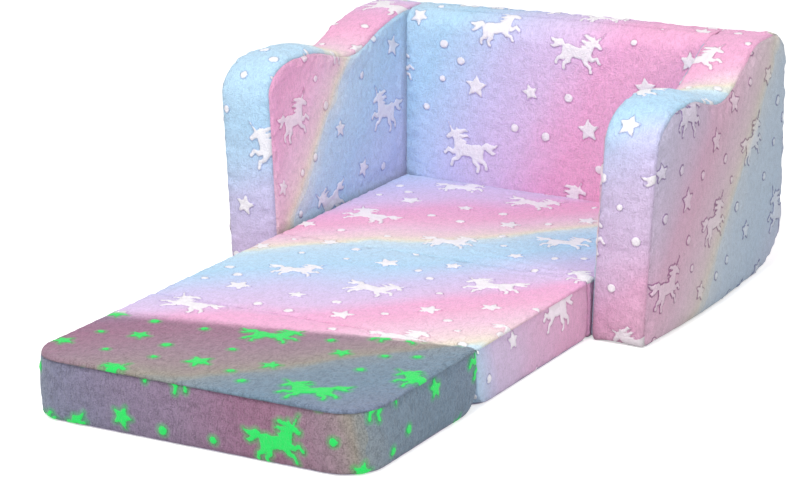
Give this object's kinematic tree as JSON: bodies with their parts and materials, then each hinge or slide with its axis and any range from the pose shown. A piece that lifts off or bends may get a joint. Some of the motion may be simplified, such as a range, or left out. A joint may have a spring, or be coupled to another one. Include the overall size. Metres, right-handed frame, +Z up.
{
  "type": "kids flip open sofa",
  "caption": "Low foam armchair for a child whose folded mattress flips open into a long lounger between two stepped, padded arms.",
  "frame": {"origin": "on the floor, under the middle of the opened sofa", "axes": "+X to the sitter's left hand, +Y towards the backrest, the open mattress towards -Y, +Z up"},
  "size_m": [0.7508, 1.2124, 0.385],
  "materials": {
    "plush_pastel": "matte",
    "plush_dusk": "matte",
    "base_cloth": "matte",
    "foam": "matte",
    "tape": "matte",
    "zip_metal": "satin"
  },
  "bodies": {
    "frame": {"left_arm_foam": "foam", "left_arm_gusset": "plush_pastel", "left_arm_outer_cover": "plush_pastel", "left_arm_inner_cover": "plush_pastel", "left_arm_base_cloth": "base_cloth", "right_arm_foam": "foam", "right_arm_gusset": "plush_pastel", "right_arm_outer_cover": "plush_pastel", "right_arm_inner_cover": "plush_pastel", "right_arm_base_cloth": "base_cloth", "back_foam": "foam", "back_front_cover": "plush_pastel", "back_top_strip": "plush_pastel", "back_rear_cover": "plush_pastel", "back_base_cloth": "base_cloth", "frame_zip": "tape", "seat_panel_foam": "foam", "seat_panel_boxing": "plush_pastel", "seat_panel_top": "plush_pastel", "seat_panel_bottom": "base_cloth", "seat_panel_zip": "tape", "seat_fold_tape": "tape"},
    "second_panel": {"second_panel_foam": "foam", "second_panel_boxing": "plush_pastel", "second_panel_top": "plush_pastel", "second_panel_bottom": "base_cloth", "second_panel_zip": "tape", "front_fold_tape": "tape"},
    "third_panel": {"third_panel_foam": "foam", "third_panel_boxing": "plush_dusk", "third_panel_top": "plush_dusk", "third_panel_bottom": "base_cloth", "third_panel_zip": "tape"},
    "seat_slider": {"seat_panel_zip_slider": "zip_metal", "seat_panel_zip_pull": "zip_metal"},
    "second_slider": {"second_panel_zip_slider": "zip_metal", "second_panel_zip_pull": "zip_metal"},
    "third_slider": {"third_panel_zip_slider": "zip_metal", "third_panel_zip_pull": "zip_metal"},
    "frame_slider": {"frame_zip_slider": "zip_metal"},
    "frame_pull": {"frame_zip_pull": "zip_metal"}
  },
  "joints": [
    {"name": "seat_fold", "type": "hinge", "parent": "frame", "child": "second_panel", "pos_m": [0, 0.07375, 0.0963], "axis": [-1, 0, 0], "range_deg": [0, 180]},
    {"name": "front_fold", "type": "hinge", "parent": "second_panel", "child": "third_panel", "pos_m": [0, -0.28725, -0.00025], "axis": [1, 0, 0], "range_deg": [0, 180]},
    {"name": "seat_zip_slide", "type": "slide", "parent": "frame", "child": "seat_slider", "axis": [1, 0, 0], "range_m": [0, 0.365]},
    {"name": "second_zip_slide", "type": "slide", "parent": "second_panel", "child": "second_slider", "axis": [0, 1, 0], "range_m": [0, 0.185]},
    {"name": "third_zip_slide", "type": "slide", "parent": "third_panel", "child": "third_slider", "axis": [0, 1, 0], "range_m": [0, 0.185]},
    {"name": "frame_zip_slide", "type": "slide", "parent": "frame", "child": "frame_slider", "axis": [1, 0, 0], "range_m": [0, 0.447]},
    {"name": "frame_pull_swing", "type": "hinge", "parent": "frame_slider", "child": "frame_pull", "pos_m": [-0.2237, 0.60565, 0.1136], "axis": [1, 0, 0], "range_deg": [0, 150]}
  ],
  "couplings": [
    {"joint": "front_fold", "follows": "seat_fold", "ratio": 1}
  ]
}
